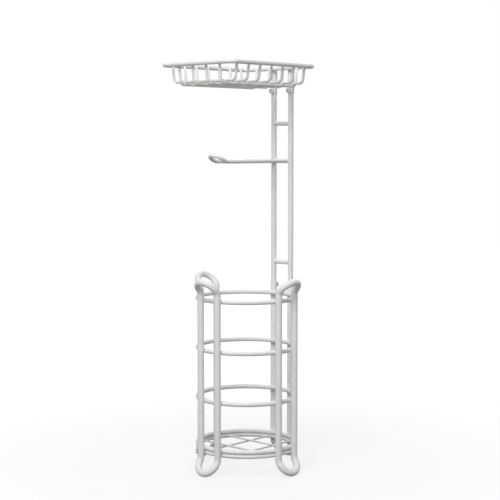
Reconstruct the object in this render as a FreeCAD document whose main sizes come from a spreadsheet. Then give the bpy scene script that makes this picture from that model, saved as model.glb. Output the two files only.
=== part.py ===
import FreeCAD, Part
import os

import Sketcher

# A free-standing wire stand. Four looped tube legs carry a round cage of rings, two uprights plug into
# the open ends of the back leg, and a wire basket shelf plugs onto the uprights.
# Origin: on the floor, on the axis of the cage. +Z is up, the uprights stand at the back (+Y) and
# the hairpin arm points to the front (-Y). Millimetres and degrees.

SIZES = [
    # Legs: one size of thin-walled tube, bent into loops that lean out at the top and at the foot
    ("leg_tube_dia", "10"),
    ("leg_tube_wall", "0.7"),
    ("leg_rod_spacing", "35"),
    ("top_loop_tilt", "42"),
    ("top_bend_radius", "10"),
    ("top_bend_rise", "9.5"),
    ("foot_loop_tilt", "36"),
    ("foot_bend_radius", "13"),
    ("vent_hole_dia", "2"),
    # Cage: four rings inside the legs, and a base ring with crossing wires under the lowest one
    ("ring_inner_dia", "143"),
    ("ring_wire_dia", "7"),
    ("ring_top_z", "262"),
    ("ring_pitch", "76"),
    ("ring_bottom_z", "38"),
    ("base_ring_wire_dia", "6"),
    ("base_cross_wire_dia", "3"),
    ("base_cross_wire_spacing", "50"),
    ("weld_gap", "0.05"),
    # Uprights: tubes that slip into the back leg and rest on a rolled bead inside it
    ("slip_clearance", "0.1"),
    ("upright_wall", "0.7"),
    ("leg_socket_top_z", "278"),
    ("leg_socket_depth", "46"),
    ("seat_bead_width", "0.8"),
    ("seat_bead_height", "3"),
    ("crossbar_dia", "7"),
    ("crossbar_lower_z", "310.7"),
    ("crossbar_upper_drop", "88.4"),
    # Arm: a hairpin of wire, its closed end turned up
    ("arm_drop", "146.5"),
    ("arm_wire_dia", "6"),
    ("arm_wire_spacing", "23"),
    ("arm_bend_reach", "50"),
    ("arm_end_tilt", "28"),
    ("arm_bend_radius", "27"),
    # Shelf: a rim of thick wire, a basket of thin U-shaped wires, and two blind sockets behind the rim
    ("overall_height", "615.5"),
    ("rim_wire_dia", "7"),
    ("shelf_width", "150"),
    ("shelf_depth", "186.5"),
    ("rim_corner_radius", "9"),
    ("basket_drop", "29.6"),
    ("basket_flare", "2.5"),
    ("basket_wire_dia", "4"),
    ("basket_bend_radius", "7"),
    ("basket_wire_top_rise", "1"),
    ("cross_wire_pitch", "24.5"),
    ("long_wire_pitch", "27.7"),
    ("socket_cap_thickness", "1.5"),
    ("shelf_socket_depth", "40.5"),
    # Clamps: a square nut welded over a hole near each socket's mouth, and a headless screw in it
    ("nut_width", "7"),
    ("nut_thickness", "3.2"),
    ("screw_dia", "4"),
    ("screw_sink", "0.2"),
    ("screw_recess_width", "2"),
    ("screw_recess_depth", "1.8"),
    ("screw_tip_clearance", "0.1"),
    ("thread_clearance", "0.05"),
    ("clamp_inset", "4.2"),
    # Places that follow from the sizes above
    ("leg_tube_bore", "=leg_tube_dia - 2 * leg_tube_wall"),
    ("leg_half_spacing", "=leg_rod_spacing / 2"),
    ("ring_radius", "=(ring_inner_dia + ring_wire_dia) / 2"),
    ("rod_reach", "=ring_radius + ring_wire_dia / 2 + weld_gap + leg_tube_dia / 2"),
    ("rod_offset", "=sqrt(rod_reach ^ 2 - leg_half_spacing ^ 2)"),
    ("top_bend_z", "=ring_top_z + top_bend_rise"),
    ("top_loop_y", "=rod_offset + top_bend_radius * (1 - cos(top_loop_tilt * 1 deg))"),
    ("top_loop_z", "=top_bend_z + top_bend_radius * sin(top_loop_tilt * 1 deg)"),
    ("foot_loop_y", "=rod_offset + foot_bend_radius * (1 - cos(foot_loop_tilt * 1 deg))"),
    ("foot_loop_z", "=leg_tube_dia / 2 + leg_half_spacing * cos(foot_loop_tilt * 1 deg)"),
    ("foot_bend_z", "=foot_loop_z + foot_bend_radius * sin(foot_loop_tilt * 1 deg)"),
    ("base_ring_z", "=ring_bottom_z - (ring_wire_dia + base_ring_wire_dia) / 2 - weld_gap"),
    ("base_cross_rise", "=(base_cross_wire_dia + weld_gap) / 2"),
    ("upright_dia", "=leg_tube_bore - 2 * slip_clearance"),
    ("leg_seat_z", "=leg_socket_top_z - leg_socket_depth"),
    ("leg_bead_z", "=leg_seat_z - seat_bead_height"),
    ("upright_top_z", "=overall_height - socket_cap_thickness"),
    ("crossbar_upper_z", "=overall_height - crossbar_upper_drop"),
    ("arm_z", "=overall_height - arm_drop"),
    ("arm_loop_y", "=-arm_bend_reach - arm_bend_radius * sin(arm_end_tilt * 1 deg)"),
    ("arm_loop_z", "=arm_z + arm_bend_radius * (1 - cos(arm_end_tilt * 1 deg))"),
    ("rim_z", "=overall_height - rim_wire_dia / 2"),
    ("rim_half_width", "=(shelf_width - rim_wire_dia) / 2"),
    ("rim_half_depth", "=(shelf_depth - rim_wire_dia) / 2"),
    ("rim_back_y", "=rod_offset - (leg_tube_dia + rim_wire_dia) / 2 - weld_gap"),
    ("shelf_centre_y", "=rim_back_y - rim_half_depth"),
    ("basket_inset", "=(rim_wire_dia + basket_wire_dia) / 2 + weld_gap"),
    ("basket_half_width", "=rim_half_width - basket_inset"),
    ("basket_half_depth", "=rim_half_depth - basket_inset"),
    ("basket_wire_top_z", "=rim_z + basket_wire_top_rise"),
    ("long_wire_z", "=rim_z - basket_drop"),
    ("cross_wire_z", "=long_wire_z + basket_wire_dia + weld_gap"),
    ("shelf_socket_mouth_z", "=upright_top_z - shelf_socket_depth"),
    ("leg_clamp_z", "=leg_socket_top_z - clamp_inset"),
    ("shelf_clamp_z", "=shelf_socket_mouth_z + clamp_inset"),
    ("nut_reach", "=leg_tube_dia / 2 + weld_gap"),
    ("screw_tip_reach", "=upright_dia / 2 + screw_tip_clearance"),
    ("screw_end_reach", "=nut_reach + nut_thickness - screw_sink"),
]

CROSS_WIRE_COUNT = 7
LONG_WIRE_COUNT = 4
SIDES = {"left": "-", "right": ""}
CLAMP_HOLE = "Sizes.screw_dia / 2 + Sizes.thread_clearance"

X_AXIS = FreeCAD.Vector(1, 0, 0)
Y_AXIS = FreeCAD.Vector(0, 1, 0)
Z_AXIS = FreeCAD.Vector(0, 0, 1)
UPRIGHT = FreeCAD.Rotation()
PATHS = {"x": "Placement.Base.x", "y": "Placement.Base.y", "z": "Placement.Base.z",
         "turn": "Placement.Rotation.Angle"}

doc = FreeCAD.newDocument("roll_stand")
sheet = doc.addObject("Spreadsheet::Sheet", "Sizes")
for row, (alias, text) in enumerate(SIZES, start=1):
    sheet.set(f"A{row}", text)
    sheet.setAlias(f"A{row}", alias)
doc.recompute()

parts = []


def bind(item, **expressions):
    """Ties an object's properties to the sheet; x, y, z and turn stand for its placement."""
    for name, expression in expressions.items():
        item.setExpression(PATHS.get(name, name), expression)
    return item


def name_part(label, item):
    """Gives a finished piece its name and puts it on the list to be written."""
    item.Label = label
    parts.append(item)
    return item


def axes(x_axis, y_axis):
    """The rotation that lays an object's own X and Y along two given directions."""
    return FreeCAD.Rotation(x_axis, y_axis, x_axis.cross(y_axis), "XYZ")


def rod(radius, length, rotation=UPRIGHT, **place):
    """A straight round length along its own Z."""
    item = doc.addObject("Part::Cylinder", "Rod")
    item.Placement.Rotation = rotation
    return bind(item, Radius=radius, Height=length, **place)


def bend(radius, bend_radius, angle, rotation=UPRIGHT, **place):
    """A round length bent about its own Z, from its own +X towards +Y."""
    item = doc.addObject("Part::Torus", "Bend")
    item.Angle1 = -180
    item.Angle2 = 180
    item.Placement.Rotation = rotation
    return bind(item, Radius1=bend_radius, Radius2=radius, Angle3=angle, **place)


def fuse(items):
    """One solid out of lengths that meet end to end."""
    joined = doc.addObject("Part::MultiFuse", "Joined")
    joined.Shapes = items
    joined.Refine = True
    return joined


def cut(base, tools):
    """The base with the solids of the tools taken out of it."""
    for tool in tools:
        result = doc.addObject("Part::Cut", "Cut")
        result.Base = base
        result.Tool = tool
        base = result
    return base


def group(label, items):
    """Identical small pieces that share one name."""
    compound = doc.addObject("Part::Compound", "Group")
    compound.Links = items
    return name_part(label, compound)


def leg_rods(radius, bottom, top):
    """The two straight rods of a leg between two heights."""
    return [rod(radius, f"{top} - {bottom}",
                x=f"{sign}Sizes.leg_half_spacing", y="-Sizes.rod_offset", z=bottom)
            for sign in SIDES.values()]


def leg_end(radius, end, up):
    """The two bends and the half loop that close a leg, at its top (up is 1) or its foot (up is -1)."""
    pieces = [bend(radius, f"Sizes.{end}_bend_radius", f"Sizes.{end}_loop_tilt", axes(Y_AXIS, Z_AXIS * up),
                   x=f"{sign}Sizes.leg_half_spacing", y=f"-Sizes.rod_offset - Sizes.{end}_bend_radius",
                   z=f"Sizes.{end}_bend_z")
              for sign in SIDES.values()]
    loop = bend(radius, "Sizes.leg_half_spacing", "180", FreeCAD.Rotation(X_AXIS, 90),
                turn=f"{up} * (90 + Sizes.{end}_loop_tilt)",
                y=f"-Sizes.{end}_loop_y", z=f"Sizes.{end}_loop_z")
    return pieces + [loop]


def turned(item, angle):
    """A leg, drawn at the front, carried round the axis of the cage."""
    item.Placement = FreeCAD.Placement(FreeCAD.Vector(), FreeCAD.Rotation(Z_AXIS, angle))
    return item


def closed_leg(label, angle):
    """A leg that is one closed loop of tube, with vent holes on its inner side above the foot."""
    outer, inner = [
        fuse(leg_rods(radius, "Sizes.foot_bend_z", "Sizes.top_bend_z")
             + leg_end(radius, "foot", -1) + leg_end(radius, "top", 1))
        for radius in ("Sizes.leg_tube_dia / 2", "Sizes.leg_tube_bore / 2")]
    vents = [rod("Sizes.vent_hole_dia / 2", "Sizes.leg_tube_dia", FreeCAD.Rotation(X_AXIS, -90),
                 x=f"{sign}Sizes.leg_half_spacing", y="-Sizes.rod_offset",
                 z="Sizes.foot_bend_z + Sizes.leg_tube_dia")
             for sign in SIDES.values()]
    name_part(label, turned(cut(outer, [inner] + vents), angle))


def open_leg(label, angle):
    """The back leg: its rods end in open sockets, each with a bead inside that an upright rests on."""
    outside = "Sizes.leg_tube_dia / 2"
    bore = "Sizes.leg_tube_bore / 2"
    outer = fuse(leg_rods(outside, "Sizes.foot_bend_z", "Sizes.leg_socket_top_z")
                 + leg_end(outside, "foot", -1))
    inner = fuse(leg_rods(bore, "Sizes.foot_bend_z", "Sizes.leg_bead_z") + leg_end(bore, "foot", -1)
                 + leg_rods(f"{bore} - Sizes.seat_bead_width", "Sizes.leg_bead_z", "Sizes.leg_seat_z")
                 + leg_rods(bore, "Sizes.leg_seat_z", "Sizes.leg_socket_top_z"))
    holes = [clamp_length(CLAMP_HOLE, "0", "Sizes.leg_tube_dia", sign, "-Sizes.rod_offset", "leg", -1)
             for sign in SIDES.values()]
    name_part(label, turned(cut(outer, [inner] + holes), angle))


def hoop(wire, height, clearance="0"):
    """A wire bent into a full circle about the axis of the cage."""
    return bend(f"Sizes.{wire} / 2 + {clearance}", "Sizes.ring_radius", "360", z=height)


def base_cross_wires(label):
    """Two wires along X on two along Y, their ends saddled to the base ring and clear of the ring above."""
    rings = [hoop("base_ring_wire_dia", "Sizes.base_ring_z", "Sizes.weld_gap"),
             hoop("ring_wire_dia", "Sizes.ring_bottom_z", "Sizes.weld_gap")]
    half = "Sizes.base_cross_wire_spacing / 2"
    reach = f"sqrt(Sizes.ring_radius ^ 2 - ({half}) ^ 2)"
    wire = "Sizes.base_cross_wire_dia / 2"
    wires = []
    for sign in SIDES.values():
        wires.append(rod(wire, f"2 * {reach}", FreeCAD.Rotation(Y_AXIS, 90),
                         x=f"-{reach}", y=f"{sign}{half}", z="Sizes.base_ring_z + Sizes.base_cross_rise"))
    for sign in SIDES.values():
        wires.append(rod(wire, f"2 * {reach}", FreeCAD.Rotation(X_AXIS, -90),
                         x=f"{sign}{half}", y=f"-{reach}", z="Sizes.base_ring_z - Sizes.base_cross_rise"))
    for number, wire_rod in enumerate(wires, start=1):
        name_part(f"{label}_{number}", cut(wire_rod, rings))


def sketch_on(body, role, name):
    """A sketch on one of a body's own origin planes."""
    sketch = body.newObject("Sketcher::SketchObject", name)
    plane = next(item for item in body.Origin.OriginFeatures if item.Role == role)
    sketch.AttachmentSupport = [(plane, "")]
    sketch.MapMode = "FlatFace"
    return sketch


def constrain(sketch, kind, *places, expression=None):
    """Adds a constraint to a sketch, tied to the sheet where it has an expression."""
    index = sketch.addConstraint(Sketcher.Constraint(kind, *places))
    if expression:
        sketch.setExpression(f"Constraints[{index}]", expression)


def upright(label, sign):
    """A length of tube from the bead in the back leg to the cap of the shelf's socket."""
    body = doc.addObject("PartDesign::Body", "Upright")
    section = sketch_on(body, "XY_Plane", "Section")
    outside = "Sizes.upright_dia / 2"
    for radius, expression in ((2, outside), (1, f"{outside} - Sizes.upright_wall")):
        circle = section.addGeometry(Part.Circle(FreeCAD.Vector(), Z_AXIS, radius))
        constrain(section, "Coincident", circle, 3, -1, 1)
        constrain(section, "Radius", circle, radius, expression=expression)
    tube = body.newObject("PartDesign::Pad", "Tube")
    tube.Profile = section
    bind(tube, Length="Sizes.upright_top_z - Sizes.leg_seat_z")
    bind(body, x=f"{sign}Sizes.leg_half_spacing", y="Sizes.rod_offset", z="Sizes.leg_seat_z")
    name_part(label, body)


def crossbar(label, height):
    """A short bar between the uprights, its ends saddled to them."""
    bar = rod("Sizes.crossbar_dia / 2", "Sizes.leg_rod_spacing", FreeCAD.Rotation(Y_AXIS, 90),
              x="-Sizes.leg_half_spacing", y="Sizes.rod_offset", z=height)
    saddles = [rod("Sizes.upright_dia / 2 + Sizes.weld_gap", "2 * Sizes.crossbar_dia",
                   x=f"{sign}Sizes.leg_half_spacing", y="Sizes.rod_offset",
                   z=f"{height} - Sizes.crossbar_dia")
               for sign in SIDES.values()]
    name_part(label, cut(bar, saddles))


def roll_arm(label):
    """A hairpin from the middle crossbar to the front, its closed end turned up."""
    radius = "Sizes.arm_wire_dia / 2"
    lengths = []
    for sign in SIDES.values():
        side = f"{sign}Sizes.arm_wire_spacing / 2"
        lengths.append(rod(radius, "Sizes.arm_bend_reach + Sizes.rod_offset", FreeCAD.Rotation(X_AXIS, -90),
                           x=side, y="-Sizes.arm_bend_reach", z="Sizes.arm_z"))
        lengths.append(bend(radius, "Sizes.arm_bend_radius", "Sizes.arm_end_tilt", axes(-Z_AXIS, -Y_AXIS),
                            x=side, y="-Sizes.arm_bend_reach", z="Sizes.arm_z + Sizes.arm_bend_radius"))
    lengths.append(bend(radius, "Sizes.arm_wire_spacing / 2", "180", FreeCAD.Rotation(X_AXIS, 90),
                        turn="180 - Sizes.arm_end_tilt", y="Sizes.arm_loop_y", z="Sizes.arm_loop_z"))
    saddle = rod("Sizes.crossbar_dia / 2 + Sizes.weld_gap", "2 * Sizes.arm_wire_spacing",
                 FreeCAD.Rotation(Y_AXIS, 90),
                 x="-Sizes.arm_wire_spacing", y="Sizes.rod_offset", z="Sizes.arm_z")
    name_part(label, cut(fuse(lengths), [saddle]))


def shelf_rim(label):
    """A closed rectangle of thick wire with round corners."""
    radius = "Sizes.rim_wire_dia / 2"
    corner = "Sizes.rim_corner_radius"
    wide = f"(Sizes.rim_half_width - {corner})"
    deep = f"(Sizes.rim_half_depth - {corner})"
    lengths = []
    for quarter, (sign_x, sign_y) in enumerate((("", ""), ("-", ""), ("-", "-"), ("", "-"))):
        lengths.append(bend(radius, corner, "90", FreeCAD.Rotation(Z_AXIS, 90 * quarter), x=f"{sign_x}{wide}",
                            y=f"Sizes.shelf_centre_y + {sign_y}{deep}", z="Sizes.rim_z"))
    for sign in SIDES.values():
        lengths.append(rod(radius, f"2 * {wide}", FreeCAD.Rotation(Y_AXIS, 90), x=f"-{wide}",
                           y=f"Sizes.shelf_centre_y + {sign}Sizes.rim_half_depth", z="Sizes.rim_z"))
        lengths.append(rod(radius, f"2 * {deep}", FreeCAD.Rotation(X_AXIS, -90),
                           x=f"{sign}Sizes.rim_half_width", y=f"Sizes.shelf_centre_y - {deep}",
                           z="Sizes.rim_z"))
    name_part(label, fuse(lengths))


def basket_wire(label, role, half_span, bottom, **place):
    """A U-shaped wire of the basket: two sides that lean out to the rim, and a run along the bottom."""
    low_span = f"{half_span} - Sizes.basket_flare"
    body = doc.addObject("PartDesign::Body", "Basket_wire")
    path = sketch_on(body, role, "Path")
    # A rough first U, with its bottom at zero; the constraints below give it its real size
    span, low, high, turn, knee = 6.0, 0.0, 4.0, 1.0, 0.3
    left_side = path.addGeometry(Part.LineSegment(FreeCAD.Vector(-span, high), FreeCAD.Vector(-span, turn)))
    left_bend = path.addGeometry(Part.Arc(FreeCAD.Vector(-span, turn), FreeCAD.Vector(knee - span, knee),
                                          FreeCAD.Vector(turn - span, low)))
    run = path.addGeometry(Part.LineSegment(FreeCAD.Vector(turn - span, low),
                                            FreeCAD.Vector(span - turn, low)))
    right_bend = path.addGeometry(Part.Arc(FreeCAD.Vector(span - turn, low),
                                           FreeCAD.Vector(span - knee, knee), FreeCAD.Vector(span, turn)))
    right_side = path.addGeometry(Part.LineSegment(FreeCAD.Vector(span, turn), FreeCAD.Vector(span, high)))
    start, end, centre, origin = 1, 2, 3, -1
    constrain(path, "Tangent", left_side, end, left_bend, start)
    constrain(path, "Tangent", left_bend, end, run, start)
    constrain(path, "Tangent", run, end, right_bend, start)
    constrain(path, "Tangent", right_bend, end, right_side, start)
    constrain(path, "Horizontal", run)
    constrain(path, "Radius", left_bend, turn, expression="Sizes.basket_bend_radius")
    constrain(path, "Equal", left_bend, right_bend)
    constrain(path, "DistanceX", left_side, start, origin, start, span, expression=half_span)
    constrain(path, "DistanceX", origin, start, right_side, end, span, expression=half_span)
    constrain(path, "DistanceX", left_side, end, origin, start, span, expression=low_span)
    constrain(path, "DistanceX", origin, start, right_side, start, span, expression=low_span)
    constrain(path, "DistanceY", origin, start, run, start, low, expression=bottom)
    constrain(path, "DistanceY", origin, start, left_side, start, high, expression="Sizes.basket_wire_top_z")
    constrain(path, "DistanceY", origin, start, right_side, end, high, expression="Sizes.basket_wire_top_z")
    section = sketch_on(body, "XY_Plane", "Section")
    section.setExpression("AttachmentOffset.Base.z", "Sizes.basket_wire_top_z")
    circle = section.addGeometry(Part.Circle(FreeCAD.Vector(-span, -span), Z_AXIS, turn))
    constrain(section, "Radius", circle, turn, expression="Sizes.basket_wire_dia / 2")
    across, along = ("DistanceX", "DistanceY") if role == "XZ_Plane" else ("DistanceY", "DistanceX")
    constrain(section, across, circle, centre, origin, start, span, expression=half_span)
    constrain(section, along, circle, centre, origin, start, 0)
    wire = body.newObject("PartDesign::AdditivePipe", "Wire")
    wire.Profile = section
    wire.Spine = path
    bind(body, **place)
    name_part(label, body)


def shelf_socket(label, sign):
    """A tube behind the rim, closed at the top, that drops over an upright."""
    x_place = f"{sign}Sizes.leg_half_spacing"
    outer = rod("Sizes.leg_tube_dia / 2", "Sizes.overall_height - Sizes.shelf_socket_mouth_z",
                x=x_place, y="Sizes.rod_offset", z="Sizes.shelf_socket_mouth_z")
    bore = rod("Sizes.leg_tube_bore / 2", "Sizes.shelf_socket_depth",
               x=x_place, y="Sizes.rod_offset", z="Sizes.shelf_socket_mouth_z")
    hole = clamp_length(CLAMP_HOLE, "0", "Sizes.leg_tube_dia", sign, "Sizes.rod_offset", "shelf", -1)
    name_part(label, cut(outer, [bore, hole]))


def clamp_length(radius, inner_reach, outer_reach, sign, y_place, joint, facing):
    """A round length on a clamp's axis, between two distances from the axis of its upright."""
    return rod(radius, f"{outer_reach} - {inner_reach}", FreeCAD.Rotation(X_AXIS, -90 * facing),
               x=f"{sign}Sizes.leg_half_spacing", y=f"{y_place} + {facing} * ({inner_reach})",
               z=f"Sizes.{joint}_clamp_z")


def clamp_nut(sign, joint, facing):
    """A square nut against the outside of a socket."""
    near = "Sizes.nut_reach" if facing > 0 else "-Sizes.nut_reach - Sizes.nut_thickness"
    block = bind(doc.addObject("Part::Box", "Nut"), Length="Sizes.nut_width", Width="Sizes.nut_thickness",
                 Height="Sizes.nut_width", x=f"{sign}Sizes.leg_half_spacing - Sizes.nut_width / 2",
                 y=f"Sizes.rod_offset + {near}", z=f"Sizes.{joint}_clamp_z - Sizes.nut_width / 2")
    hole = clamp_length(CLAMP_HOLE, "0", "Sizes.nut_reach + 2 * Sizes.nut_thickness",
                        sign, "Sizes.rod_offset", joint, facing)
    return cut(block, [hole])


def clamp_screw(sign, joint, facing):
    """A headless screw with a hexagon recess, sunk in its nut, its tip just clear of the upright."""
    thread = clamp_length("Sizes.screw_dia / 2", "Sizes.screw_tip_reach", "Sizes.screw_end_reach",
                          sign, "Sizes.rod_offset", joint, facing)
    recess = doc.addObject("Part::Prism", "Recess")
    recess.Polygon = 6
    recess.Placement.Rotation = FreeCAD.Rotation(X_AXIS, -90 * facing)
    recess_floor = "(Sizes.screw_end_reach - Sizes.screw_recess_depth)"
    bind(recess, Circumradius="Sizes.screw_recess_width / sqrt(3)", Height="Sizes.screw_recess_depth",
         x=f"{sign}Sizes.leg_half_spacing", y=f"Sizes.rod_offset + {facing} * {recess_floor}",
         z=f"Sizes.{joint}_clamp_z")
    return cut(thread, [recess])


def clamps(joint, facing):
    """The nuts and the screws that hold one pair of sockets."""
    group(f"{joint}_clamp_nuts", [clamp_nut(sign, joint, facing) for sign in SIDES.values()])
    group(f"{joint}_clamp_screws", [clamp_screw(sign, joint, facing) for sign in SIDES.values()])


# Base frame: the legs, the rings, the crossing wires of the base and the clamps of the back leg
closed_leg("leg_front", 0)
closed_leg("leg_right", 90)
open_leg("leg_back", 180)
closed_leg("leg_left", 270)
name_part("ring_top", hoop("ring_wire_dia", "Sizes.ring_top_z"))
name_part("ring_upper", hoop("ring_wire_dia", "Sizes.ring_top_z - Sizes.ring_pitch"))
name_part("ring_lower", hoop("ring_wire_dia", "Sizes.ring_top_z - 2 * Sizes.ring_pitch"))
name_part("ring_bottom", hoop("ring_wire_dia", "Sizes.ring_bottom_z"))
name_part("base_ring", hoop("base_ring_wire_dia", "Sizes.base_ring_z"))
base_cross_wires("base_cross_wire")
clamps("leg", 1)

# Upright frame: two tubes, three crossbars and the arm
for side_name, side_sign in SIDES.items():
    upright(f"upright_{side_name}", side_sign)
crossbar("crossbar_lower", "Sizes.crossbar_lower_z")
crossbar("crossbar_arm", "Sizes.arm_z")
crossbar("crossbar_upper", "Sizes.crossbar_upper_z")
roll_arm("roll_arm")

# Shelf: the rim, the basket's wires, the sockets and their clamps
shelf_rim("shelf_rim")
for number in range(CROSS_WIRE_COUNT):
    step = number - (CROSS_WIRE_COUNT - 1) / 2
    basket_wire(f"shelf_cross_wire_{number + 1}", "XZ_Plane", "Sizes.basket_half_width",
                "Sizes.cross_wire_z", y=f"Sizes.shelf_centre_y + {step} * Sizes.cross_wire_pitch")
for number in range(LONG_WIRE_COUNT):
    step = number - (LONG_WIRE_COUNT - 1) / 2
    basket_wire(f"shelf_long_wire_{number + 1}", "YZ_Plane", "Sizes.basket_half_depth", "Sizes.long_wire_z",
                x=f"{step} * Sizes.long_wire_pitch", y="Sizes.shelf_centre_y")
for side_name, side_sign in SIDES.items():
    shelf_socket(f"shelf_socket_{side_name}", side_sign)
clamps("shelf", -1)

doc.recompute()

for item in doc.Objects:
    if "Invalid" in item.State or "Error" in item.State:
        raise RuntimeError(f"{item.Label} did not compute: {item.State}")
for item in parts:
    if item.Shape.isNull() or not item.Shape.isValid():
        raise RuntimeError(f"{item.Label} has no valid shape")

os.makedirs("parts", exist_ok=True)
for item in parts:
    item.Shape.exportStep(f"parts/{item.Label}.step")
    print(item.Label, len(item.Shape.Solids), round(item.Shape.Volume, 1))
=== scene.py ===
import math
import random
from functools import partial

import bmesh
import bpy
from mathutils import Matrix, Vector


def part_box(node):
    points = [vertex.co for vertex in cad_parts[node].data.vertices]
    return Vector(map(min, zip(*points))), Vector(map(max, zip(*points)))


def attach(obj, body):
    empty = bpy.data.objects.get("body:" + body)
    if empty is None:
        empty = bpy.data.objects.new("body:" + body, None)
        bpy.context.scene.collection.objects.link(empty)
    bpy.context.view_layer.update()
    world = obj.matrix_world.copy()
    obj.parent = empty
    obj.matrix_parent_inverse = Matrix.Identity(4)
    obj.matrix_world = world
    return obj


# A free-standing wire stand: looped tube legs round a cage of rings, two uprights with a hairpin arm,
# and a wire basket shelf. The bare frame comes from the CAD model; here it gets its baked powder coat,
# the welds that hold its wires and tubes together, a studio and a camera. Metres.

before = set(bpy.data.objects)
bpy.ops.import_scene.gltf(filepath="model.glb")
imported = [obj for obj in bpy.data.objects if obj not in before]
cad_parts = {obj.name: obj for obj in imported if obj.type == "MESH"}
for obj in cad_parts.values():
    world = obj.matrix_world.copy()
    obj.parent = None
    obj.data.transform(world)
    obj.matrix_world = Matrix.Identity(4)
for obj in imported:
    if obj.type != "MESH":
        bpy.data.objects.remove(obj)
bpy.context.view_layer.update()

MM = 0.001
SIDES = (-1, 1)
X_AXIS, Y_AXIS, Z_AXIS = Vector((1, 0, 0)), Vector((0, 1, 0)), Vector((0, 0, 1))

# Pieces of the frame that carry welds or soft edges
RINGS = ["ring_top", "ring_upper", "ring_lower", "ring_bottom", "base_ring"]
UPPER_BASE_WIRES = ["base_cross_wire_1", "base_cross_wire_2"]
LOWER_BASE_WIRES = ["base_cross_wire_3", "base_cross_wire_4"]
CROSSBARS = ["crossbar_lower", "crossbar_arm", "crossbar_upper"]
SOCKETS = ["shelf_socket_left", "shelf_socket_right"]
CROSS_WIRES = [f"shelf_cross_wire_{k}" for k in range(1, 8)]
LONG_WIRES = [f"shelf_long_wire_{k}" for k in range(1, 5)]

# Weld sizes; the sink is how deep a weld's skin lies in the steel that it joins
WELD_SINK = 0.06 * MM
RING_WELD_REACH = 2.6 * MM
BASKET_WELD_REACH = 1.5 * MM
RIM_WELD_REACH = 1.6 * MM
BASE_WELD_REACH = 1.2 * MM
SOCKET_WELD_REACH = 3.0 * MM
NUT_WELD_REACH = 2.9 * MM
NUT_WELD_ROOT = 0.5 * MM
CROSSBAR_FILLET = 1.3 * MM
ARM_FILLET = 1.2 * MM
BASE_WIRE_FILLET = 0.7 * MM

# Weld shapes, as shares of their sizes, and how finely they are drawn
COLLAR_WAIST = 0.72
FILLET_ROOT = 0.7
FILLET_WIDEST = 0.96
NUT_WELD_END = 0.75
NUT_WELD_HOLLOW = 0.12
WELD_UNEVENNESS = 0.12
WELD_STEPS = 20
FILLET_STEPS = 6

# Edges that the coat softens
NUT_EDGE = 0.5 * MM
SOCKET_EDGE = 0.25 * MM
WIRE_END_EDGE = 0.6 * MM
EDGE_SEGMENTS = 3
SHARP_ANGLE = math.radians(40.0)
FACE_JOIN_DISTANCE = 0.002 * MM

# Camera, found from the rings' ellipses and the shelf's perspective
FOCAL_LENGTH_MM = 93.6
SENSOR_MM = 36.0
VIEW_AZIMUTH = math.radians(43.0)
VIEW_DISTANCE = 1.976
VIEW_HEIGHT = 0.491
VIEW_AIM = Vector((0.0038, 0.0036, 0.334))

uneven = random.Random(7)


def linear(hex_colour):
    """An sRGB hex colour as linear red, green, blue and alpha."""
    channels = [int(hex_colour[i:i + 2], 16) / 255 for i in (1, 3, 5)]
    return tuple(c / 12.92 if c <= 0.04045 else ((c + 0.055) / 1.055) ** 2.4 for c in channels) + (1.0,)


def add_node(tree, kind, inputs=(), **settings):
    """Adds a node with its settings; each input is a value, or the output that feeds it."""
    node = tree.nodes.new(kind)
    for name, value in settings.items():
        setattr(node, name, value)
    for name, value in dict(inputs).items():
        if isinstance(value, bpy.types.NodeSocket):
            tree.links.new(value, node.inputs[name])
        else:
            node.inputs[name].default_value = value
    return node


def new_material(name):
    """An empty node material and its tree."""
    material = bpy.data.materials.new(name)
    material.use_nodes = True
    material.node_tree.nodes.clear()
    return material, material.node_tree


def white_powder_coat():
    """Polyester powder coat, sprayed dry on welded steel and baked: a satin white skin.
    It flows out with a faint orange peel and is a shade greyer where it lies thin."""
    thin_film, full_film = "#E8E8E6", "#F0F0EE"
    film_patch = 22 * MM
    # Orange peel is about 1 mm from crest to crest; it is drawn at 2.5 mm so that it shows
    orange_peel = 2.5 * MM
    noise_low, noise_high = 0.3, 0.7
    material, tree = new_material("white_powder_coat")
    place = add_node(tree, "ShaderNodeTexCoord").outputs["Object"]
    film = add_node(tree, "ShaderNodeTexNoise",
                    {"Vector": place, "Scale": 1 / film_patch, "Detail": 3.0, "Roughness": 0.55})
    peel = add_node(tree, "ShaderNodeTexNoise",
                    {"Vector": place, "Scale": 1 / orange_peel, "Detail": 1.0, "Roughness": 0.4})
    colour = add_node(tree, "ShaderNodeValToRGB", {"Fac": film.outputs["Fac"]})
    thin_stop, full_stop = colour.color_ramp.elements
    thin_stop.position = noise_low
    thin_stop.color = linear(thin_film)
    full_stop.position = noise_high
    full_stop.color = linear(full_film)
    roughness = add_node(tree, "ShaderNodeMapRange",
                         {"Value": peel.outputs["Fac"], "From Min": noise_low, "From Max": noise_high,
                          "To Min": 0.46, "To Max": 0.56})
    bump = add_node(tree, "ShaderNodeBump",
                    {"Height": peel.outputs["Fac"], "Strength": 0.4, "Distance": 0.15 * MM})
    shader = add_node(tree, "ShaderNodeBsdfPrincipled",
                      {"Base Color": colour.outputs["Color"], "Roughness": roughness.outputs["Result"],
                       "Normal": bump.outputs["Normal"], "IOR": 1.5})
    add_node(tree, "ShaderNodeOutputMaterial", {"Surface": shader.outputs["BSDF"]})
    return material


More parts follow.
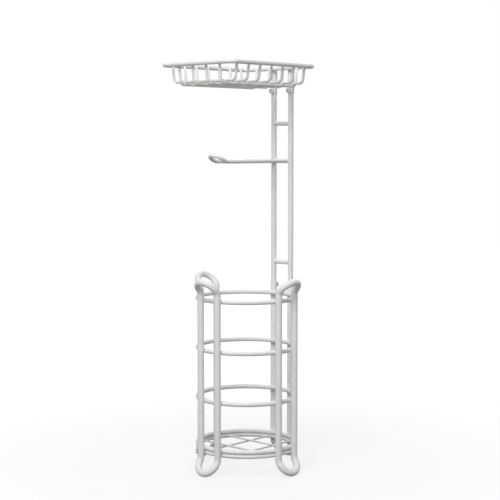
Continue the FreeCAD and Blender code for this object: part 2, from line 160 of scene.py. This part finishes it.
def zinc_plated_steel():
    """Bright zinc plating on a turned steel screw: a cool grey metal, cloudy from its fine crystals."""
    dull_zinc, bright_zinc = "#BFC2C5", "#DADBDA"
    cloud = 1.2 * MM
    # The crystals are a few hundredths of a millimetre wide; they are drawn at 0.4 mm so that they show
    crystal = 0.4 * MM
    material, tree = new_material("zinc_plated_steel")
    place = add_node(tree, "ShaderNodeTexCoord").outputs["Object"]
    clouds = add_node(tree, "ShaderNodeTexNoise", {"Vector": place, "Scale": 1 / cloud, "Detail": 2.0})
    crystals = add_node(tree, "ShaderNodeTexNoise", {"Vector": place, "Scale": 1 / crystal, "Detail": 2.0})
    colour = add_node(tree, "ShaderNodeValToRGB", {"Fac": clouds.outputs["Fac"]})
    dull_stop, bright_stop = colour.color_ramp.elements
    dull_stop.color = linear(dull_zinc)
    bright_stop.color = linear(bright_zinc)
    roughness = add_node(tree, "ShaderNodeMapRange",
                         {"Value": crystals.outputs["Fac"], "To Min": 0.26, "To Max": 0.46})
    bump = add_node(tree, "ShaderNodeBump",
                    {"Height": crystals.outputs["Fac"], "Strength": 0.2, "Distance": 0.03 * MM})
    shader = add_node(tree, "ShaderNodeBsdfPrincipled",
                      {"Base Color": colour.outputs["Color"], "Roughness": roughness.outputs["Result"],
                       "Normal": bump.outputs["Normal"], "Metallic": 1.0})
    add_node(tree, "ShaderNodeOutputMaterial", {"Surface": shader.outputs["BSDF"]})
    return material


def middle(node):
    """The middle of a CAD node's box."""
    low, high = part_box(node)
    return (low + high) / 2


def half_size(node):
    """Half the size of a CAD node's box."""
    low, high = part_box(node)
    return (high - low) / 2


def soften_edges(node, width):
    """Rounds the sharp edges of a CAD node, as the melting coat does when it draws over them."""
    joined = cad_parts[node].modifiers.new("joined_faces", "WELD")
    joined.merge_threshold = FACE_JOIN_DISTANCE
    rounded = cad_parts[node].modifiers.new("soft_edges", "BEVEL")
    rounded.width = width
    rounded.segments = EDGE_SEGMENTS
    rounded.limit_method = "ANGLE"
    rounded.angle_limit = SHARP_ANGLE
    rounded.harden_normals = True


def skin(mesh, loops, closed_round):
    """Joins loops of points into a closed skin: round like a tyre, or with a point at each end."""
    rows = [[mesh.verts.new(point) for point in loop] for loop in loops]
    steps = len(rows[0])
    following = rows[1:] + rows[:1] if closed_round else rows[1:]
    for lower, upper in zip(rows, following):
        for i in range(steps):
            j = (i + 1) % steps
            mesh.faces.new((lower[i], lower[j], upper[j], upper[i]))
    if not closed_round:
        for row, order in ((rows[0], -1), (rows[-1], 1)):
            tip = mesh.verts.new(sum((v.co for v in row), Vector()) / steps)
            for i in range(steps):
                corner = (row[i], row[(i + 1) % steps], tip)
                mesh.faces.new(corner[::order])


def made_uneven(size):
    """A weld's size with the small spread of hand or spot welding."""
    return size * (1 + uneven.uniform(-WELD_UNEVENNESS, WELD_UNEVENNESS))


def round_points(radius):
    """The points of a circle, as pairs."""
    angles = [2 * math.pi * i / WELD_STEPS for i in range(WELD_STEPS)]
    return [(radius * math.cos(angle), radius * math.sin(angle)) for angle in angles]


def saddle_weld(mesh, point, normal, along_upper, upper_radius, lower_radius, reach, gap):
    """The weld where two round wires cross at right angles: a waisted collar that hugs both.
    The normal points from the lower wire to the upper one; the point lies midway in the gap between them."""
    along_lower = normal.cross(along_upper)
    reach = made_uneven(reach)
    loops = []
    for step in range(FILLET_STEPS + 1):
        share = step / FILLET_STEPS
        radius = reach * (COLLAR_WAIST + (1 - COLLAR_WAIST) * (2 * share - 1) ** 2)
        loop = []
        for x, y in round_points(radius):
            upper = gap / 2 + upper_radius - math.sqrt(upper_radius ** 2 - y ** 2) + WELD_SINK
            lower = gap / 2 + lower_radius - math.sqrt(lower_radius ** 2 - x ** 2) + WELD_SINK
            height = share * upper - (1 - share) * lower
            loop.append(point + along_upper * x + along_lower * y + normal * height)
        loops.append(loop)
    skin(mesh, loops, closed_round=False)


def tee_weld(mesh, axis_point, outward, post_axis, bar_radius, post_radius, leg, offset=0.0):
    """The weld round the end of a bar that butts against a round post: a hollow fillet.
    The axis point lies on the post's axis, and outward points from it along the bar. The offset is how far
    the bar's axis passes beside the post's."""
    side = post_axis.cross(outward)
    leg = made_uneven(leg)
    root_radius = post_radius - WELD_SINK
    widest = FILLET_WIDEST * root_radius
    profile = []
    for step in range(FILLET_STEPS + 1):
        turn = math.pi / 2 * step / FILLET_STEPS
        spread = leg * (1 - math.cos(turn)) - WELD_SINK
        profile.append((bar_radius + spread, leg * (1 - math.sin(turn))))
    profile.append((FILLET_ROOT * bar_radius, 0.0))
    loops = []
    for radius, lift in profile:
        loop = []
        for x, y in round_points(radius):
            across = max(-widest, min(widest, offset + x))
            depth = math.sqrt(root_radius ** 2 - across ** 2)
            loop.append(axis_point + side * across + post_axis * y + outward * (depth + lift))
        loops.append(loop)
    skin(mesh, loops, closed_round=True)


def wedge_weld(mesh, place, outward, tube_radius, face_reach, half_height, reach):
    """The welds that fill the two wedges between a round upright tube and a flat face against it.
    The place lies on the tube's axis, and outward points from it to the face."""
    across = outward.cross(Z_AXIS)
    inner = NUT_WELD_ROOT
    for side in SIDES:
        loops = []
        for step in range(FILLET_STEPS + 1):
            height = half_height * (2 * step / FILLET_STEPS - 1)
            bulge = math.sqrt(max(1 - (height / half_height) ** 2, 0.0))
            outer = inner + (reach - inner) * (NUT_WELD_END + (1 - NUT_WELD_END) * bulge)
            hollow = (outer - inner) * NUT_WELD_HOLLOW
            tube_depth = math.sqrt(tube_radius ** 2 - outer ** 2) - WELD_SINK
            corners = [(inner, tube_radius - WELD_SINK), (outer, tube_depth),
                       (outer - hollow, (tube_depth + face_reach) / 2), (outer, face_reach + WELD_SINK),
                       (inner, face_reach + WELD_SINK)]
            loops.append([place + across * (side * x) + outward * y + Z_AXIS * height for x, y in corners])
        skin(mesh, loops, closed_round=False)


def weld_piece(name, body, draw):
    """One group of welds as a smooth coated piece that moves with its body."""
    mesh = bmesh.new()
    draw(mesh)
    bmesh.ops.recalc_face_normals(mesh, faces=mesh.faces)
    for face in mesh.faces:
        face.smooth = True
    data = bpy.data.meshes.new(name)
    mesh.to_mesh(data)
    mesh.free()
    data.materials.append(coat)
    piece = bpy.data.objects.new(name, data)
    bpy.context.scene.collection.objects.link(piece)
    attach(piece, body)


def draw_ring_welds(mesh):
    """Each ring of the cage is welded to the inner side of each leg rod that it passes."""
    rod_distance = math.hypot(UPRIGHT_PLACE.x, UPRIGHT_PLACE.y)
    for ring in RINGS:
        size = half_size(ring)
        height = middle(ring).z
        gap = rod_distance - TUBE_RADIUS - size.x
        for quarter in range(4):
            for side in SIDES:
                rod_place = Vector((side * UPRIGHT_PLACE.x, UPRIGHT_PLACE.y, 0))
                away = (Matrix.Rotation(math.pi / 2 * quarter, 3, "Z") @ rod_place).normalized()
                point = away * (size.x + gap / 2) + Z_AXIS * height
                saddle_weld(mesh, point, away, Z_AXIS, TUBE_RADIUS, size.z, RING_WELD_REACH, gap)


def draw_base_wire_welds(mesh):
    """The crossing wires of the base are welded to each other where they cross."""
    for upper in UPPER_BASE_WIRES:
        for lower in LOWER_BASE_WIRES:
            top, bottom = middle(upper), middle(lower)
            radius = half_size(upper).z
            gap = top.z - bottom.z - 2 * radius
            point = Vector((bottom.x, top.y, (top.z + bottom.z) / 2))
            saddle_weld(mesh, point, Z_AXIS, X_AXIS, radius, radius, BASE_WELD_REACH, gap)


def draw_base_end_welds(mesh):
    """The ends of the crossing wires are welded to the inner side of the base ring."""
    ring_height = middle("base_ring").z
    ring_wire = half_size("base_ring").z
    ring_radius = half_size("base_ring").y - ring_wire
    for wire in UPPER_BASE_WIRES + LOWER_BASE_WIRES:
        place, size = middle(wire), half_size(wire)
        runs_along_x = size.x > size.y
        beside = place.y if runs_along_x else place.x
        reach = math.sqrt(ring_radius ** 2 - beside ** 2)
        for side in SIDES:
            x, y = (side * reach, beside) if runs_along_x else (beside, side * reach)
            inward = Vector((-x, -y, 0)).normalized()
            along_ring = inward.cross(Z_AXIS)
            axis_point = Vector((x, y, ring_height))
            tee_weld(mesh, axis_point, inward, along_ring, size.z, ring_wire, BASE_WIRE_FILLET,
                     offset=place.z - ring_height)


def draw_nut_welds(mesh, nuts, outward):
    """The square nuts of one pair of clamps are welded to their sockets."""
    place, size = middle(nuts), half_size(nuts)
    face_reach = abs(place.y - UPRIGHT_PLACE.y) - size.y
    for side in SIDES:
        axis_point = Vector((side * UPRIGHT_PLACE.x, UPRIGHT_PLACE.y, place.z))
        wedge_weld(mesh, axis_point, outward, TUBE_RADIUS, face_reach, size.z, NUT_WELD_REACH)


def draw_crossbar_welds(mesh):
    """Each crossbar is welded all round to both uprights."""
    for bar in CROSSBARS:
        bar_radius = half_size(bar).z
        for side in SIDES:
            axis_point = Vector((side * UPRIGHT_PLACE.x, UPRIGHT_PLACE.y, middle(bar).z))
            tee_weld(mesh, axis_point, -side * X_AXIS, Z_AXIS, bar_radius, UPRIGHT_RADIUS, CROSSBAR_FILLET)


def draw_arm_welds(mesh):
    """The two ends of the hairpin arm are welded to the middle crossbar."""
    bar = middle("crossbar_arm")
    bar_radius = half_size("crossbar_arm").z
    low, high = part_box("roll_arm")
    wire_radius = bar.z - low.z
    for side in SIDES:
        axis_point = Vector((side * (high.x - wire_radius), bar.y, bar.z))
        tee_weld(mesh, axis_point, -Y_AXIS, X_AXIS, wire_radius, bar_radius, ARM_FILLET)


def draw_basket_welds(mesh):
    """The basket's cross wires lie on its long wires and are welded at every crossing."""
    for cross in CROSS_WIRES:
        for long in LONG_WIRES:
            cross_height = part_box(cross)[0].z
            long_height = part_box(long)[0].z + 2 * BASKET_WIRE_RADIUS
            gap = cross_height - long_height
            point = Vector((middle(long).x, middle(cross).y, (cross_height + long_height) / 2))
            saddle_weld(mesh, point, Z_AXIS, X_AXIS, BASKET_WIRE_RADIUS, BASKET_WIRE_RADIUS,
                        BASKET_WELD_REACH, gap)


def draw_rim_welds(mesh):
    """The ends of the basket's wires are welded to the inner side of the rim."""
    rim_low, rim_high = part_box("shelf_rim")
    for wires, axis, along_rim in ((CROSS_WIRES, 0, Y_AXIS), (LONG_WIRES, 1, X_AXIS)):
        for wire in wires:
            for side in SIDES:
                wire_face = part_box(wire)[side > 0][axis]
                rim_face = (rim_low, rim_high)[side > 0][axis] - side * 2 * RIM_RADIUS
                point = middle(wire)
                point[axis] = (wire_face + rim_face) / 2
                point.z = RIM_HEIGHT
                outward = Vector((0, 0, 0))
                outward[axis] = side
                saddle_weld(mesh, point, outward, along_rim, RIM_RADIUS, BASKET_WIRE_RADIUS, RIM_WELD_REACH,
                            abs(rim_face - wire_face))


def draw_socket_welds(mesh):
    """The sockets are welded to the back of the rim."""
    for socket in SOCKETS:
        socket_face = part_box(socket)[0].y
        rim_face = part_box("shelf_rim")[1].y
        point = Vector((middle(socket).x, (socket_face + rim_face) / 2, RIM_HEIGHT))
        saddle_weld(mesh, point, Y_AXIS, Z_AXIS, TUBE_RADIUS, RIM_RADIUS, SOCKET_WELD_REACH,
                    socket_face - rim_face)


def seen_share(tree):
    """1 on what is seen, also in a reflection or through glass, and 0 on light that falls on the stand."""
    path = add_node(tree, "ShaderNodeLightPath")
    seen = add_node(tree, "ShaderNodeMath",
                    {0: path.outputs["Is Camera Ray"], 1: path.outputs["Is Glossy Ray"]}, operation="MAXIMUM")
    seen_or_through = add_node(tree, "ShaderNodeMath",
                               {0: seen.outputs[0], 1: path.outputs["Is Transmission Ray"]},
                               operation="MAXIMUM")
    return seen_or_through.outputs[0]


def white_studio_floor():
    """A matt studio floor that looks white to the camera and keeps the stand's soft shadow.
    Its glow grows with the distance from the stand, so that it meets the white behind it unseen."""
    near_glow, far_glow = 0.75, 0.95
    glow_starts, glow_ends = 0.25, 1.2
    material, tree = new_material("white_studio_floor")
    place = add_node(tree, "ShaderNodeTexCoord").outputs["Object"]
    distance = add_node(tree, "ShaderNodeVectorMath", {0: place}, operation="LENGTH")
    rise = add_node(tree, "ShaderNodeMapRange",
                    {"Value": distance.outputs["Value"], "From Min": glow_starts, "From Max": glow_ends,
                     "To Min": near_glow, "To Max": far_glow})
    glow = add_node(tree, "ShaderNodeMath", {0: seen_share(tree), 1: rise.outputs["Result"]},
                    operation="MULTIPLY")
    paint = add_node(tree, "ShaderNodeBsdfDiffuse", {"Color": linear("#808080")})
    light = add_node(tree, "ShaderNodeEmission", {"Color": linear("#FFFFFF"), "Strength": glow.outputs[0]})
    both = add_node(tree, "ShaderNodeAddShader", {0: paint.outputs[0], 1: light.outputs[0]})
    add_node(tree, "ShaderNodeOutputMaterial", {"Surface": both.outputs[0]})
    return material


def add_floor():
    """A wide floor under the feet."""
    half = 4.0
    corners = [(-half, -half, 0), (half, -half, 0), (half, half, 0), (-half, half, 0)]
    data = bpy.data.meshes.new("studio_floor")
    data.from_pydata(corners, [], [(0, 1, 2, 3)])
    data.materials.append(white_studio_floor())
    floor = bpy.data.objects.new("studio_floor", data)
    bpy.context.scene.collection.objects.link(floor)


def set_world():
    """Soft light from all round, seen as plain white."""
    ambient, white = 0.4, 1.0
    world = bpy.data.worlds.new("white_studio")
    world.use_nodes = True
    tree = world.node_tree
    tree.nodes.clear()
    strength = add_node(tree, "ShaderNodeMapRange",
                        {"Value": seen_share(tree), "To Min": ambient, "To Max": white})
    sky = add_node(tree, "ShaderNodeBackground",
                   {"Color": linear("#FFFFFF"), "Strength": strength.outputs["Result"]})
    add_node(tree, "ShaderNodeOutputWorld", {"Surface": sky.outputs[0]})
    bpy.context.scene.world = world


def add_softbox(name, place, width, watts):
    """A square softbox that points at the middle of the stand."""
    aim = Vector((0.0, 0.0, 0.35))
    lamp = bpy.data.lights.new(name, "AREA")
    lamp.shape = "SQUARE"
    lamp.size = width
    lamp.energy = watts
    softbox = bpy.data.objects.new(name, lamp)
    softbox.location = place
    softbox.rotation_euler = (aim - Vector(place)).to_track_quat("-Z", "Y").to_euler()
    bpy.context.scene.collection.objects.link(softbox)


def add_camera():
    """The camera at the photograph's place."""
    data = bpy.data.cameras.new("camera")
    data.lens = FOCAL_LENGTH_MM
    data.sensor_width = SENSOR_MM
    camera = bpy.data.objects.new("camera", data)
    camera.location = (VIEW_AIM.x + math.sin(VIEW_AZIMUTH) * VIEW_DISTANCE,
                       VIEW_AIM.y - math.cos(VIEW_AZIMUTH) * VIEW_DISTANCE, VIEW_HEIGHT)
    camera.rotation_euler = (VIEW_AIM - camera.location).to_track_quat("-Z", "Y").to_euler()
    bpy.context.scene.collection.objects.link(camera)
    bpy.context.scene.camera = camera


# Sizes and places that the welds take from the frame; the legs and the sockets are of one tube size,
# and the rods of the legs stand as far from the middle as the uprights
UPRIGHT_PLACE = middle("upright_right")
UPRIGHT_RADIUS = half_size("upright_right").x
TUBE_RADIUS = half_size("shelf_socket_right").x
RIM_RADIUS = half_size("shelf_rim").z
RIM_HEIGHT = middle("shelf_rim").z
BASKET_WIRE_RADIUS = half_size(CROSS_WIRES[0]).y

# Coat and plating
coat = white_powder_coat()
zinc = zinc_plated_steel()
for node_name, node_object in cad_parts.items():
    node_object.data.materials.clear()
    node_object.data.materials.append(zinc if node_name.endswith("screws") else coat)
    for polygon in node_object.data.polygons:
        polygon.use_smooth = True

# Soft edges
for nut_pair in ("leg_clamp_nuts", "shelf_clamp_nuts"):
    soften_edges(nut_pair, NUT_EDGE)
for socket_name in SOCKETS:
    soften_edges(socket_name, SOCKET_EDGE)
for wire_name in CROSS_WIRES + LONG_WIRES:
    soften_edges(wire_name, WIRE_END_EDGE)

# Welds
weld_piece("ring_welds", "base_frame", draw_ring_welds)
weld_piece("base_wire_welds", "base_frame", draw_base_wire_welds)
weld_piece("base_end_welds", "base_frame", draw_base_end_welds)
weld_piece("leg_nut_welds", "base_frame", partial(draw_nut_welds, nuts="leg_clamp_nuts", outward=Y_AXIS))
weld_piece("crossbar_welds", "upright_frame", draw_crossbar_welds)
weld_piece("arm_welds", "upright_frame", draw_arm_welds)
weld_piece("basket_welds", "shelf", draw_basket_welds)
weld_piece("rim_welds", "shelf", draw_rim_welds)
weld_piece("socket_welds", "shelf", draw_socket_welds)
weld_piece("shelf_nut_welds", "shelf", partial(draw_nut_welds, nuts="shelf_clamp_nuts", outward=-Y_AXIS))

# Studio
add_floor()
set_world()
add_softbox("back_softbox", place=(-0.95, 1.35, 1.4), width=1.2, watts=12.0)
add_softbox("front_softbox", place=(0.76, -1.45, 1.75), width=1.4, watts=34.0)
add_camera()
bpy.context.scene.view_settings.view_transform = "Standard"
